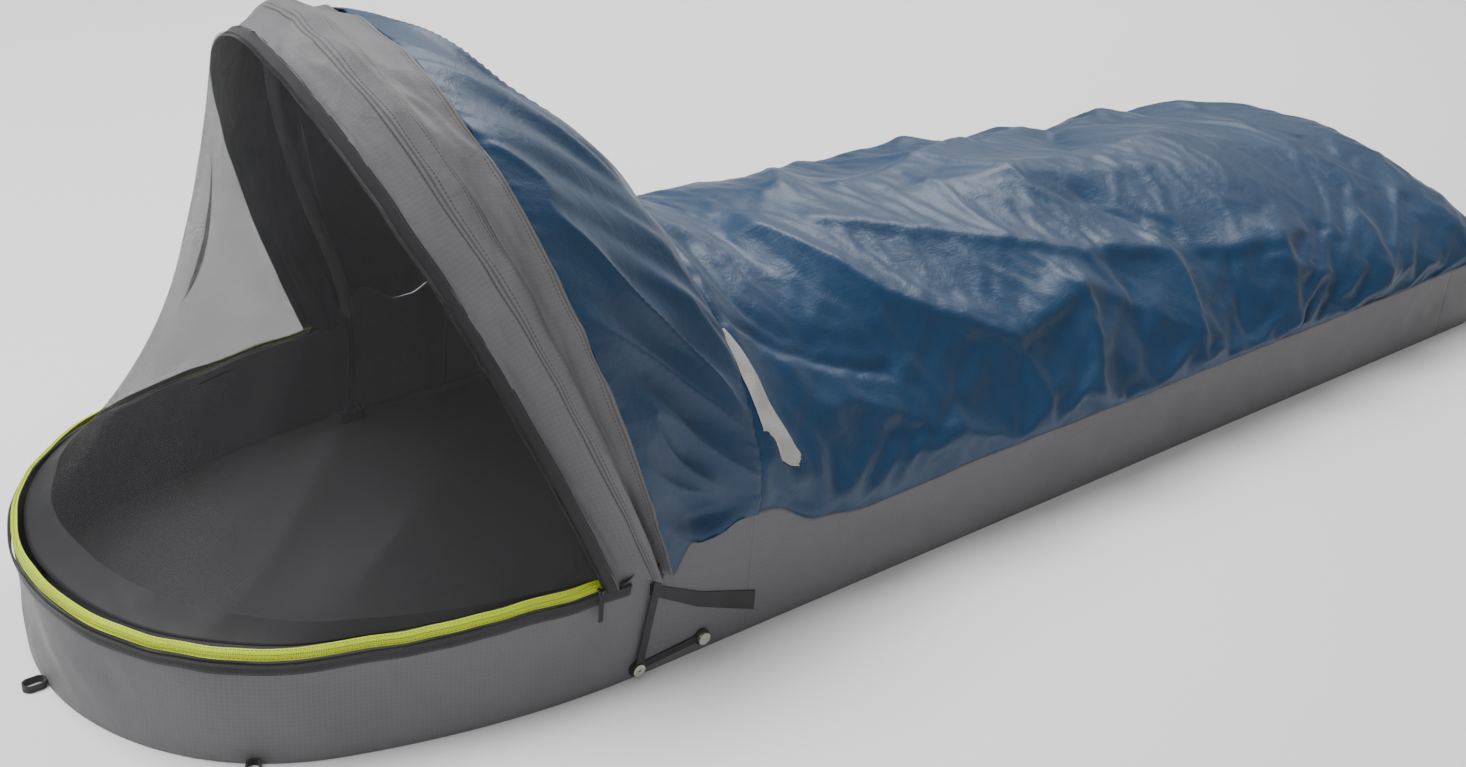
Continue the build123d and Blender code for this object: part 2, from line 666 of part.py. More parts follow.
def stake_loops():
    """Loops at the head's front and corners and at the foot's corners."""
    head = math.radians(180 - HEAD_LOOP_TURN)
    corner = (FRONT_CENTRE + FRONT_R * math.cos(head), FRONT_R * math.sin(head))
    foot = (FOOT_X - FOOT_CORNER, FOOT_WIDTH / 2 - FOOT_CORNER)
    slant = FOOT_CORNER * math.sqrt(0.5) + LOOP_STAND_OFF
    return {
        "stake_loop_head": stake_loop(-HEAD_REACH, 0, 180),
        "stake_loop_head_left": stake_loop(*corner, 180 - HEAD_LOOP_TURN),
        "stake_loop_head_right": stake_loop(corner[0], -corner[1], HEAD_LOOP_TURN - 180),
        "stake_loop_foot_left": stake_loop(foot[0] + slant, foot[1] + slant, 45),
        "stake_loop_foot_right": stake_loop(foot[0] + slant, -foot[1] - slant, -45),
    }


PARTS = {}


def keep(name, shape):
    PARTS[name] = shape


def keep_sides(name, shape):
    """Keep a right piece and its mirror image as two nodes."""
    keep(name + "_right", shape)
    keep(name + "_left", other_side(shape))


def build():
    keep("floor_panel", floor_panel())
    keep("head_wall", head_wall())
    keep("foot_band", foot_band())
    keep("floor_seam_tape", floor_seam_tape())
    keep_sides("corner_panel", corner_panel())
    keep_sides("side_band", side_band())
    keep_sides("canopy_seam_tape", canopy_seam_tape())
    keep("body_canopy", body_canopy())
    keep("foot_cap", foot_cap())
    keep_sides("reflective_patch", reflective_patch())
    keep("hood_facing", hood_facing())
    keep("hood_zip_tape", hood_zip_tape())
    keep("hood_zip_coil", hood_zip_coil())
    keep("hood_crown", hood_crown())
    keep("hood_gusset", hood_gusset())
    keep("mesh_screen", mesh_screen())

    path = pole_path()
    centre, right, ferrule = pole_parts(path)
    keep("pole_centre", centre)
    keep_sides("pole_section", right)
    keep("pole_ferrules", pair(ferrule))
    keep("pole_tips", pair(pole_tip(path)))
    keep("pole_shock_cord", shock_cord(path))
    keep("pole_sleeve", pole_sleeve(path))
    keep_sides("pole_pocket", pole_pocket())

    keep_sides("snap_strip", snap_strip())
    keep("front_snap_studs", pair(front_stud()))
    keep("snap_sockets", pair(snap_socket()))
    keep("rear_snaps", pair(rear_snap()))
    keep_sides("tie_strap", tie_strap())
    keep_sides("corner_strap", corner_strap())

    keep("rim_storm_tape", rim_storm_tape())
    keep("rim_storm_coil", rim_storm_coil())
    keep("mesh_zip_tape", mesh_zip_tape())
    keep("mesh_zip_coil", mesh_zip_coil())
    keep("mesh_slider", mesh_slider())
    keep("mesh_pull", mesh_pull())
    keep("storm_slider", storm_slider())
    keep("storm_pull", storm_pull())

    for name, loop in stake_loops().items():
        keep(name, loop)


if __name__ == "__main__":
    build()
    os.makedirs("parts", exist_ok=True)
    for name, shape in PARTS.items():
        export_step(shape, f"parts/{name}.step")
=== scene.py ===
"""Bivy sack, pitched with its hood up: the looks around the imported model.

Laid out as an add-on whose operators each make one group of pieces, and run as a script.
Frame: origin on the ground between the front snaps, +X to the foot, +Y to the left, metres.
"""
import math

import bmesh
import bpy
from bpy.props import FloatProperty, FloatVectorProperty, IntProperty, PointerProperty
from mathutils import Matrix, Vector, noise


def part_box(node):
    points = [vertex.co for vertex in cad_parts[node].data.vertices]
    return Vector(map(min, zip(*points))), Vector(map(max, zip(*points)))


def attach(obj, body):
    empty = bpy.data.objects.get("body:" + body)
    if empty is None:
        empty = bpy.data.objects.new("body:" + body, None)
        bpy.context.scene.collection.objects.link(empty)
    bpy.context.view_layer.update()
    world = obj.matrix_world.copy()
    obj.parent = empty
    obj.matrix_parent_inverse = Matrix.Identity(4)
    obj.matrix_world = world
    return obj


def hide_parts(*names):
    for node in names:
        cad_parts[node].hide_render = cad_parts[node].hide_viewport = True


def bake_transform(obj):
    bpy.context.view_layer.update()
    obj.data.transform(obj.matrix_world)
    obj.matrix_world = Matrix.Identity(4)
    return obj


bl_info = {
    "name": "Bivy sack",
    "version": (1, 0, 0),
    "blender": (4, 5, 0),
    "location": "View3D > Sidebar > Bivy",
    "description": "Makes a hooped bivy sack from its cloth, zips, straps and snaps",
    "category": "Object",
}

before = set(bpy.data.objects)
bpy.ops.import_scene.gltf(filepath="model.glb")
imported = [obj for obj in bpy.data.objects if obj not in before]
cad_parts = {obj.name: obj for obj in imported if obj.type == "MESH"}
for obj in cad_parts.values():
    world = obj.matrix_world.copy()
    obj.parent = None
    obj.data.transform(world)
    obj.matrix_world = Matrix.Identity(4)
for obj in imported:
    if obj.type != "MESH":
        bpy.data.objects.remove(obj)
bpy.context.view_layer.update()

# Places taken from the frame
FLOOR_LOW, FLOOR_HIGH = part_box("floor_panel")
WALL_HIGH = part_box("head_wall")[1]
FOOT_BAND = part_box("foot_band")
CORNER_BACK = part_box("corner_panel_right")[1].x
HOOD_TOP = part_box("hood_facing")[1].z


class SackSizes(bpy.types.PropertyGroup):
    """Sizes of the sack, in metres"""
    side_turn: FloatProperty(
        name="Side turn", default=math.radians(19), subtype="ANGLE",
        description="How far each side of the head outline turns")
    foot_corner: FloatProperty(
        name="Foot corner", default=0.06, subtype="DISTANCE",
        description="Plan radius of the foot's corners")
    cloth: FloatProperty(
        name="Cloth", default=0.0007, subtype="DISTANCE", description="Thickness of a panel")
    tape: FloatProperty(
        name="Zip tape", default=0.012, subtype="DISTANCE", description="Width of a zip's tape")
    ripstop: FloatProperty(
        name="Ripstop", default=0.0052, subtype="DISTANCE",
        description="Distance between the cloth's thick threads")
    stitch: FloatProperty(
        name="Stitch", default=0.0042, subtype="DISTANCE", description="Length of a stitch")
    detail: IntProperty(
        name="Detail", default=1, min=0, max=2, description="Subdivision of the cloth")


class SackColours(bpy.types.PropertyGroup):
    """Colours of the sack's cloth and trim"""
    tub: FloatVectorProperty(
        name="Tub", default=(0.118, 0.114, 0.120), subtype="COLOR", description="Grey tub cloth")
    canopy: FloatVectorProperty(
        name="Canopy", default=(0.002, 0.030, 0.080), subtype="COLOR",
        description="Blue canopy cloth")
    trim: FloatVectorProperty(
        name="Trim", default=(0.012, 0.012, 0.014), subtype="COLOR",
        description="Black tape and webbing")
    lime: FloatVectorProperty(
        name="Lime", default=(0.58, 0.76, 0.012), subtype="COLOR", description="Mesh zip tape")
    patch: FloatVectorProperty(
        name="Patch", default=(0.37, 0.365, 0.35), subtype="COLOR",
        description="Light reflective cloth")


def sizes():
    return bpy.context.scene.sack_sizes


def colours():
    return bpy.context.scene.sack_colours


# The outline on the ground ------------------------------------------------------------------------

class Outline:
    """The sack's outline, walked by distance from the middle of the head towards the right."""

    def __init__(self, turn, corner):
        self.reach = -FLOOR_LOW.x
        self.foot = FLOOR_HIGH.x
        self.half = (FLOOR_HIGH.y - FLOOR_LOW.y) / 2
        self.foot_half = (FOOT_BAND[1].y - FOOT_BAND[0].y) / 2 - 0.0015
        self.turn, self.corner = turn, corner
        s, c = math.sin(turn), math.cos(turn)
        det = s * c - (1 - s) * (1 - c)
        self.side_r = (self.reach * c - (1 - s) * self.half) / det
        self.front_r = (s * self.half - (1 - c) * self.reach) / det
        self.front_length = self.front_r * (math.pi / 2 - turn)
        self.side_length = self.side_r * turn
        self.snap = self.front_length + self.side_length
        self.straight = self.foot - corner
        self.corner_at = self.snap + self.straight
        self.corner_length = corner * math.pi / 2
        self.end = self.corner_at + self.corner_length + self.foot_half - corner

    def distance(self, x):
        """Distance round to a place behind the snap line."""
        return self.snap + x

    def at(self, distance, out=0.0):
        """Point on the outline and its outward direction, grown outward; negative is the left."""
        side = -1.0 if distance >= 0 else 1.0
        d = abs(distance)
        if d < self.front_length:
            a = d / self.front_r
            centre, radius = (self.front_r - self.reach, 0.0), self.front_r
            normal = (-math.cos(a), math.sin(a))
        elif d < self.snap:
            a = (self.snap - d) / self.side_r
            centre, radius = (0.0, self.half - self.side_r), self.side_r
            normal = (-math.sin(a), math.cos(a))
        elif d < self.corner_at:
            x = d - self.snap
            normal = (0.0, 1.0)
            centre, radius = (x, self.half_at(x)), 0.0
        elif d < self.corner_at + self.corner_length:
            a = (d - self.corner_at) / self.corner
            centre = (self.straight, self.foot_half - self.corner)
            radius = self.corner
            normal = (math.sin(a), math.cos(a))
        else:
            y = self.end - d
            centre, radius, normal = (self.foot, y), 0.0, (1.0, 0.0)
        x = centre[0] + normal[0] * (radius + out)
        y = centre[1] + normal[1] * (radius + out)
        return Vector((x, side * y, 0)), Vector((normal[0], side * normal[1], 0))

    def half_at(self, x):
        """Half the width at x, behind the snap line."""
        taper = (self.foot_half - self.half) * x / self.straight
        past = x - self.straight
        inset = 0.0
        if past > 0:
            past = min(past, self.corner)
            inset = self.corner - math.sqrt(max(self.corner ** 2 - past ** 2, 0.0))
            taper = self.foot_half - self.half
        return self.half + taper - inset


def outline():
    return Outline(sizes().side_turn, sizes().foot_corner)


# Small tools --------------------------------------------------------------------------------------

def mix(a, b, t):
    return a + (b - a) * t


def clamp01(t):
    return max(0.0, min(1.0, t))


def smooth(edge0, edge1, value):
    """0 before one edge, 1 after the other, and smooth between."""
    t = clamp01((value - edge0) / (edge1 - edge0))
    return t * t * (3 - 2 * t)


def follow(stops, at):
    """Value at a place among (place, value) stops, eased between them."""
    if at <= stops[0][0]:
        return stops[0][1]
    for (p0, v0), (p1, v1) in zip(stops, stops[1:]):
        if at <= p1:
            t = (at - p0) / (p1 - p0)
            return mix(v0, v1, t * t * (3 - 2 * t))
    return stops[-1][1]


def ruffle(x, y, z, scale, seed=0.0):
    """Soft signed noise."""
    return noise.noise(Vector((x / scale + seed, y / scale - seed, z / scale + 2 * seed)))


def ridges(x, y, scale, seed=0.0):
    """Creased noise, sharp along its ridges, from 0 to 1."""
    value = noise.noise(Vector((x / scale + seed, y / scale + 3 * seed, seed)))
    return (1 - abs(value)) ** 3


def new_object(name, bm, material=None):
    mesh = bpy.data.meshes.new(name)
    bm.to_mesh(mesh)
    bm.free()
    obj = bpy.data.objects.new(name, mesh)
    bpy.context.scene.collection.objects.link(obj)
    if material:
        mesh.materials.append(material)
    for face in mesh.polygons:
        face.use_smooth = True
    return obj


def cloth_grid(name, across, along, place, flat, material):
    """Grid of cloth. place(u, v) gives each point; the UV map is in metres of flat cloth."""
    bm = bmesh.new()
    bmesh.ops.create_grid(bm, x_segments=across, y_segments=along, size=0.5)
    uv = bm.loops.layers.uv.new("UVMap")
    for face in bm.faces:
        for loop in face.loops:
            u, v = loop.vert.co.x + 0.5, loop.vert.co.y + 0.5
            loop[uv].uv = (u * flat[0], v * flat[1])
    for vert in bm.verts:
        vert.co = place(clamp01(vert.co.x + 0.5), clamp01(vert.co.y + 0.5))
    return new_object(name, bm, material)


def on_edge(index, columns, rows):
    """Whether a grid's vertex lies on its edge."""
    column, row = index % (columns + 1), index // (columns + 1)
    return column in (0, columns) or row in (0, rows)


def face_outward(obj, inside):
    """Turn the faces of an open sheet away from a point inside the sack."""
    bm = bmesh.new()
    bm.from_mesh(obj.data)
    bm.normal_update()
    away = 0.0
    for face in bm.faces:
        middle = face.calc_center_median()
        away += (middle - inside(middle)).dot(face.normal) * face.calc_area()
    if away < 0:
        bmesh.ops.reverse_faces(bm, faces=bm.faces)
    bm.to_mesh(obj.data)
    bm.free()


def spine(point):
    """Point on the sack's inner middle line, level with another one."""
    return Vector((point.x * 0.9, 0, 0.05))


def apply_modifiers(obj):
    """Bake the live modifiers into the mesh."""
    graph = bpy.context.evaluated_depsgraph_get()
    mesh = bpy.data.meshes.new_from_object(obj.evaluated_get(graph))
    obj.modifiers.clear()
    old = obj.data
    obj.data = mesh
    bpy.data.meshes.remove(old)


def thicken(obj, thickness, levels=None, offset=-1.0, inside_shade=None):
    """Give a sheet its thickness and its smoothing, and perhaps a near-black colour on its inside
    faces that paints the shade inside the sack.
    """
    levels = sizes().detail if levels is None else levels
    if inside_shade:
        obj.data.materials.append(material(inside_shade))
    if levels:
        soft = obj.modifiers.new("Soft", "SUBSURF")
        soft.levels = soft.render_levels = levels
        soft.boundary_smooth = "PRESERVE_CORNERS"
    shell = obj.modifiers.new("Thickness", "SOLIDIFY")
    shell.thickness = thickness
    shell.offset = offset
    # the inside faces take the near-black painted shade colour
    shell.material_offset = 1 if inside_shade else 0
    apply_modifiers(obj)
    return obj


def settle(obj, held, form, frames, spare):
    """Let a sheet with spare cloth sink into folds over a form, with some vertices held."""
    scene = bpy.context.scene
    group = obj.vertex_groups.new(name="held")
    group.add([v.index for v in obj.data.vertices if held(v.index)], 1.0, "REPLACE")
    form.modifiers.new("Form", "COLLISION")
    form.collision.thickness_outer = 0.003
    form.collision.cloth_friction = 8.0
    cloth = obj.modifiers.new("Cloth", "CLOTH")
    cloth.settings.quality = 6
    cloth.settings.mass = 0.05
    cloth.settings.tension_stiffness = cloth.settings.compression_stiffness = 12.0
    cloth.settings.shear_stiffness = 6.0
    cloth.settings.bending_stiffness = 0.08
    cloth.settings.air_damping = 3.0
    cloth.settings.vertex_group_mass = "held"
    cloth.settings.shrink_min = cloth.settings.shrink_max = -spare
    cloth.collision_settings.distance_min = 0.003
    cloth.point_cache.frame_start, cloth.point_cache.frame_end = 1, frames
    for frame_number in range(1, frames + 1):
        scene.frame_set(frame_number)
    apply_modifiers(obj)
    scene.frame_set(1)
    obj.vertex_groups.clear()
    bpy.data.objects.remove(form)


def strap_along(name, points, sides, width, thickness, material):
    """Flat strap along points; sides gives the width's direction at each point."""
    bm = bmesh.new()
    bmesh.ops.create_grid(bm, x_segments=4, y_segments=len(points) - 1, size=0.5)
    uv = bm.loops.layers.uv.new("UVMap")
    run = [0.0]
    for a, b in zip(points, points[1:]):
        run.append(run[-1] + (b - a).length)
    last = len(points) - 1
    for face in bm.faces:
        for loop in face.loops:
            row = round((loop.vert.co.y + 0.5) * last)
            loop[uv].uv = (loop.vert.co.x + 0.5, run[row])
    for vert in bm.verts:
        row = round((vert.co.y + 0.5) * last)
        vert.co = points[row] + sides[row] * (vert.co.x * width)
    obj = new_object(name, bm, material)
    shell = obj.modifiers.new("Thickness", "SOLIDIFY")
    shell.thickness = thickness
    shell.offset = 0.0
    edge = obj.modifiers.new("Edge", "BEVEL")
    edge.width = thickness * 0.3
    edge.segments = 2
    edge.limit_method = "ANGLE"
    apply_modifiers(obj)
    return obj


# Materials ----------------------------------------------------------------------------------------

class Val:
    """A shader socket that takes part in sums; each operation adds a Math node."""

    def __init__(self, maker, socket):
        self.maker, self.socket = maker, socket

    def _math(self, operation, a, b=None):
        inputs = {0: a} if b is None else {0: a, 1: b}
        return self.maker.node("ShaderNodeMath", {"operation": operation}, inputs)

    def __add__(self, other):
        return self._math("ADD", self, other)

    __radd__ = __add__

    def __mul__(self, other):
        return self._math("MULTIPLY", self, other)

    __rmul__ = __mul__

    def __sub__(self, other):
        return self._math("SUBTRACT", self, other)

    def __rsub__(self, other):
        return self._math("SUBTRACT", other, self)

    def __truediv__(self, other):
        return self._math("DIVIDE", self, other)

    def __abs__(self):
        return self._math("ABSOLUTE", self)

    def __lt__(self, other):
        return self._math("LESS_THAN", self, other)

    def __gt__(self, other):
        return self._math("GREATER_THAN", self, other)

    def fract(self):
        return self._math("FRACT", self)

    def high(self, other):
        return self._math("MAXIMUM", self, other)

    def low(self, other):
        return self._math("MINIMUM", self, other)


class Maker:
    """Builds one node material."""

    def __init__(self, name):
        self.material = bpy.data.materials.new(name)
        self.material.use_nodes = True
        self.tree = self.material.node_tree
        self.shader = self.tree.nodes["Principled BSDF"]

    def node(self, kind, settings=None, inputs=None, output=0):
        """Any node: its settings first, then the values or links of its sockets."""
        made = self.tree.nodes.new(kind)
        for key, value in (settings or {}).items():
            if key == "stops":
                ramp = made.color_ramp
                while len(ramp.elements) > 1:
                    ramp.elements.remove(ramp.elements[-1])
                ramp.elements[0].position, ramp.elements[0].color = value[0]
                for position, colour in value[1:]:
                    ramp.elements.new(position).color = colour
            else:
                setattr(made, key, value)
        for key, value in (inputs or {}).items():
            self.feed(made.inputs[key], value)
        return Val(self, made.outputs[output])

    def feed(self, socket, value):
        if isinstance(value, Val):
            self.tree.links.new(value.socket, socket)
        else:
            socket.default_value = value

    def set(self, **values):
        """Constants and links on the surface shader."""
        for key, value in values.items():
            self.feed(self.shader.inputs[key.replace("_", " ")], value)
        return self.material

    def place(self):
        return self.node("ShaderNodeTexCoord", output=3)

    def uv(self):
        """The cloth's own map, in metres, as its two parts."""
        uv = self.node("ShaderNodeUVMap", {"uv_map": "UVMap"})
        return self.parts(uv)

    def parts(self, vector):
        split = self.tree.nodes.new("ShaderNodeSeparateXYZ")
        self.tree.links.new(vector.socket, split.inputs[0])
        return [Val(self, socket) for socket in split.outputs]

    def blur(self, scale, detail=3.0, rough=0.55, vector=None, distortion=0.0):
        vector = vector or self.place()
        return self.node("ShaderNodeTexNoise", inputs={
            "Vector": vector, "Scale": scale, "Detail": detail, "Roughness": rough,
            "Distortion": distortion})

    def shade(self, amount, low, high):
        """Colour between two, by an amount."""
        return self.node("ShaderNodeMix", {"data_type": "RGBA"},
                         {0: amount, 6: (*low, 1.0), 7: (*high, 1.0)}, output=2)

    def over(self, amount, base, colour):
        """A colour laid over another colour's socket, by an amount."""
        return self.node("ShaderNodeMix", {"data_type": "RGBA"},
                         {0: amount, 6: base, 7: (*colour, 1.0)}, output=2)

    def bump(self, height, strength, distance, under=None):
        inputs = {"Height": height, "Strength": strength, "Distance": distance}
        if under:
            inputs["Normal"] = under
        return self.node("ShaderNodeBump", inputs=inputs)


def times(colour, k):
    return tuple(min(c * k, 1.0) for c in colour)


def grid_lines(u, v, pitch, width):
    """1 on the lines of a square grid, given in metres."""
    lines = [abs((part / pitch).fract() - 0.5) > (0.5 - width / 2) for part in (u, v)]
    return lines[0].high(lines[1])


def ripstop_cloth(name, colour, rough, sheen, seams=()):
    """Coated ripstop: a square of thick threads, soft mottling, fine crumpling and seams.

    seams are (part, at, stitched): 0 or 1 for the map's part, and its place in metres.
    """
    m = Maker(name)
    u, v, _ = m.uv()
    broad = m.blur(2.3, 4.0, 0.6)
    mottle = m.blur(38.0, 3.0, 0.6)
    base = m.shade(broad * 0.7 + mottle * 0.3, times(colour, 0.8), times(colour, 1.22))
    threads = grid_lines(u, v, sizes().ripstop, 0.16)
    base = m.over(threads * 0.22, base, times(colour, 1.5))
    crumple = m.blur(24.0, 5.0, 0.62, distortion=0.6)
    fine = m.blur(95.0, 3.0, 0.6)
    height = crumple * 0.9 + fine * 0.18
    normal = m.bump(height, 0.34, 0.006)
    normal = m.bump(threads, 0.25, 0.00025, normal)
    roughness = m.blur(9.0) * 0.16 + (rough - 0.08)
    for part, at, stitched in seams:
        across, along = (u, v) if part == 0 else (v, u)
        line = abs(across - at)
        ditch = line < 0.0011
        base = m.over(ditch * 0.55, base, times(colour, 0.25))
        normal = m.bump(1 - ditch, 0.5, 0.0008, normal)
        if stitched:
            beside = (abs(line - 0.0045) < 0.0007) * ((along / sizes().stitch).fract() < 0.66)
            base = m.over(beside * 0.8, base, times(colour, 0.35))
            normal = m.bump(beside, 0.4, 0.0004, normal)
    m.set(Base_Color=base, Roughness=roughness, Normal=normal)
    m.set(Sheen_Weight=sheen, Sheen_Roughness=0.45, Specular_IOR_Level=0.42)
    return m.material


def woven_trim(name, colour, rough=0.75, ribs=0.0016, stitched=True, stitch_colour=None):
    """Ribbed tape or webbing, with painted highlight and shade on its ribs and a row of stitches
    down each edge. Its map is 0 to 1 across.
    """
    m = Maker(name)
    u, v, _ = m.uv()
    rib = abs((v / ribs).fract() - 0.5) * 2
    wave = abs((u * 9).fract() - 0.5) * 2
    # lighter on each rib and darker between ribs: painted highlight and shade of the ribs, mixed
    # half and half with random tone
    base = m.shade(rib * 0.5 + m.blur(140.0) * 0.5, times(colour, 0.7), times(colour, 1.5))
    normal = m.bump(rib * 0.6 + wave * 0.4, 0.55, 0.0004)
    if stitched:
        near = abs(abs(u - 0.5) - 0.36) < 0.035
        dash = near * ((v / sizes().stitch).fract() < 0.62)
        base = m.over(dash * 0.9, base, stitch_colour or times(colour, 3.0))
        normal = m.bump(dash, 0.5, 0.0005, normal)
    m.set(Base_Color=base, Roughness=m.blur(60.0) * 0.2 + (rough - 0.1), Normal=normal)
    m.set(Sheen_Weight=0.15)
    return m.material


def netting(name, colour, open_alpha, hem):
    """Fine insect mesh: threads that let light through, and a solid hem along its lower edge."""
    m = Maker(name)
    u, v, _ = m.uv()
    cells = grid_lines(u, v, 0.0013, 0.32)
    haze = m.blur(5.0, 4.0)
    alpha = (cells * 0.42 + open_alpha + haze * 0.10).high((v < hem) * 0.93).low(1.0)
    base = m.shade(haze, times(colour, 0.7), times(colour, 1.6))
    m.set(Base_Color=base, Alpha=alpha, Roughness=m.blur(30.0) * 0.2 + 0.55)
    m.set(Normal=m.bump(cells, 0.3, 0.0003))
    m.material.surface_render_method = "BLENDED"
    return m.material


def metal(name, colour, rough):
    """Plated metal with fine scratches and dull handling marks."""
    m = Maker(name)
    marks = m.blur(420.0, 4.0)
    dull = m.blur(90.0, 3.0)
    base = m.shade(dull, times(colour, 0.75), times(colour, 1.1))
    m.set(Base_Color=base, Metallic=1.0, Roughness=dull * 0.25 + rough,
          Normal=m.bump(marks, 0.12, 0.0002))
    return m.material


def moulded(name, colour, rough):
    """Moulded or drawn plastic with a faint grain."""
    m = Maker(name)
    grain = m.blur(520.0, 2.0)
    wear = m.blur(45.0, 4.0)
    base = m.shade(wear, times(colour, 0.8), times(colour, 1.4))
    m.set(Base_Color=base, Roughness=wear * 0.15 + rough, Normal=m.bump(grain, 0.15, 0.0002))
    return m.material


def coil_teeth(name, colour):
    """Zip coil: rounded teeth across its length, with painted highlight on their crests and painted
    shade between them and along the middle groove.
    """
    m = Maker(name)
    u, v, _ = m.uv()
    tooth = abs((v / 0.0017).fract() - 0.5) * 2
    split = abs(u - 0.5) < 0.06
    # lighter on each tooth's crest and darker between teeth: painted highlight and shade of the
    # rounded teeth
    base = m.shade(tooth, times(colour, 0.35), times(colour, 1.35))
    # dark line down the coil's middle: painted shade in its groove
    base = m.over(split * 0.8, base, times(colour, 0.2))
    m.set(Base_Color=base, Roughness=m.blur(200.0) * 0.1 + 0.35,
          Normal=m.bump(tooth - split * 0.8, 0.7, 0.0008))
    return m.material


MATERIALS = {}


def material(key):
    """The sack's materials, each made once."""
    if key not in MATERIALS:
        c = colours()
        makers = {
            "tub": lambda: ripstop_cloth("grey_ripstop", c.tub, 0.62, 0.1),
            "facing": lambda: ripstop_cloth("grey_facing", c.tub, 0.6, 0.12,
                                            FACING_SEAMS),
            "canopy": lambda: ripstop_cloth("blue_ripstop", c.canopy, 0.44, 0.08),
            "crown": lambda: ripstop_cloth("blue_hood_ripstop", c.canopy, 0.44, 0.08),
            "tape": lambda: woven_trim("black_zip_tape", c.trim),
            "webbing": lambda: woven_trim("black_webbing", c.trim, 0.7, 0.0022),
            "lime": lambda: woven_trim("lime_zip_tape", c.lime, 0.6, 0.0013, True,
                                       times(c.lime, 0.42)),
            "coil": lambda: coil_teeth("black_coil", c.trim),
            "lime_coil": lambda: coil_teeth("lime_coil", c.lime),
            "mesh": lambda: netting("insect_mesh", (0.014, 0.014, 0.016), 0.06, 0.034),
            # near-black colour for the cloth's inside faces: painted shade inside the sack and
            # hood, not the cloth's own inner colour
            "inside_shade": lambda: ripstop_cloth("inside_painted_shade", times(c.trim, 1.6), 0.6, 0.05),
            "patch": lambda: ripstop_cloth("light_patch", c.patch, 0.6, 0.05),
            "snap": lambda: metal("nickel_plate", (0.72, 0.69, 0.62), 0.22),
            "ferrule": lambda: metal("drawn_alloy", (0.7, 0.71, 0.73), 0.25),
            "slider": lambda: moulded("black_enamel", (0.015, 0.015, 0.016), 0.3),
            "pole": lambda: moulded("pole_tube", (0.02, 0.02, 0.022), 0.35),
            "tip": lambda: moulded("acetal_tip", (0.012, 0.012, 0.012), 0.28),
            "cord": lambda: moulded("shock_cord", (0.6, 0.6, 0.58), 0.7),
            "pull": lambda: woven_trim("pull_cord", c.trim, 0.8, 0.002, False),
        }
        MATERIALS[key] = makers[key]()
    return MATERIALS[key]


def finish_nodes(key, *names):
    """Give CAD nodes that stay on show one of the materials."""
    for name in names:
        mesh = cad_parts[name].data
        mesh.materials.clear()
        mesh.materials.append(material(key))


# Hood arches --------------------------------------------------------------------------------------

ARCH_BASE = WALL_HIGH.z


class Arch:
    """Leaning arch: base x, apex x, apex z, half width and power of its rounding."""

    def __init__(self, base_x, apex_x, apex_z, half, power):
        self.base_x, self.apex_x, self.apex_z = base_x, apex_x, apex_z
        self.half, self.power = half, power

    def at(self, t):
        """Point at t, from 0 at the right base over the top to 1 at the left base."""
        a = math.pi * clamp01(t)
        up = abs(math.sin(a)) ** (2 / self.power)
        across = math.copysign(abs(math.cos(a)) ** (2 / self.power), math.cos(a))
        return Vector((mix(self.base_x, self.apex_x, up), -self.half * across,
                       mix(ARCH_BASE, self.apex_z, up)))


# Each arch of the hood, from its front edge back to the canopy's mouth
EDGE = Arch(-0.033, -0.260, HOOD_TOP - 0.021, 0.327, 1.73)
SLEEVE_FRONT = Arch(0.008, -0.228, HOOD_TOP - 0.010, 0.333, 1.85)
SLEEVE_BACK = Arch(0.016, -0.190, HOOD_TOP - 0.012, 0.336, 1.95)
SEAM = Arch(0.030, -0.135, HOOD_TOP - 0.032, 0.338, 2.15)
MOUTH = Arch(0.155, 0.172, 0.405, 0.318, 2.0)
FACING_WIDTH = 0.155
CROWN_WIDTH = 0.33
FACING_SEAMS = ((0, 0.056, False), (0, 0.094, False), (0, 0.056 + 0.0045, True),
                (0, 0.094 - 0.0045, True), (0, FACING_WIDTH - 0.004, True))


def bend(a, b, c, t):
    """Point on a soft curve from a to c, pulled towards b."""
    return a * (1 - t) ** 2 + b * (2 * t * (1 - t)) + c * t ** 2


# Walls --------------------------------------------------------------------------------------------

# Top of the grey cloth behind the snap line, by x
WALL_TOP = ((-0.02, 0.130), (0.02, 0.173), (0.03, 0.176), (0.08, 0.149), (0.10, 0.149),
            (0.13, 0.160), (0.17, 0.157), (0.25, 0.117), (0.32, 0.105), (0.52, 0.109), (1.3, 0.108))


def wall_top(ring, distance):
    """Height of the grey cloth's upper edge, round the outline."""
    d = abs(distance)
    x = d - ring.snap
    if x < -0.02:
        wave = ruffle(distance, 0, 0, 0.09, 3.1) * 0.0035
        return WALL_HIGH.z - 0.001 + wave
    return follow(WALL_TOP, x) + ruffle(distance, 1, 0, 0.06, 5.7) * 0.0015


def rim_flare(ring, distance):
    """How far the head wall's rim leans outward, ahead of the sliders' travel."""
    return 0.004 * smooth(-0.28, -0.45, abs(distance) - ring.snap)


def wall_point(ring, distance, share):
    """Point on the wall's outer face, at a share of its height."""
    top = wall_top(ring, distance)
    z = top * share
    x = abs(distance) - ring.snap
    base, normal = ring.at(distance)
    flare = rim_flare(ring, distance) * share
    dents = ruffle(distance, z, 0, 0.11, 1.7) * 0.006 + ruffle(distance, z, 0, 0.035, 4.2) * 0.0016
    slack = math.sin(math.pi * share)
    tucks = ridges(distance + z * 0.6, z * 0.25, 0.085, 2.3) * 0.0035
    strapped = smooth(-0.045, -0.01, x) * smooth(0.185, 0.165, x)
    out = flare + (dents + tucks - 0.002) * slack * (1 - strapped)
    point = base + normal * out
    point.z = 0.0006 + z
    return point


def wall_sheet(name, start, end, columns, node, rows=14):
    ring = outline()
    height = 0.13
    obj = cloth_grid(
        name, columns, rows,
        lambda u, v: wall_point(ring, mix(start, end, u), v),
        (abs(end - start), height), material("tub"))
    face_outward(obj, spine)
    thicken(obj, sizes().cloth)
    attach(obj, "sack")
    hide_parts(*node)
    abs(end - start)
    return obj


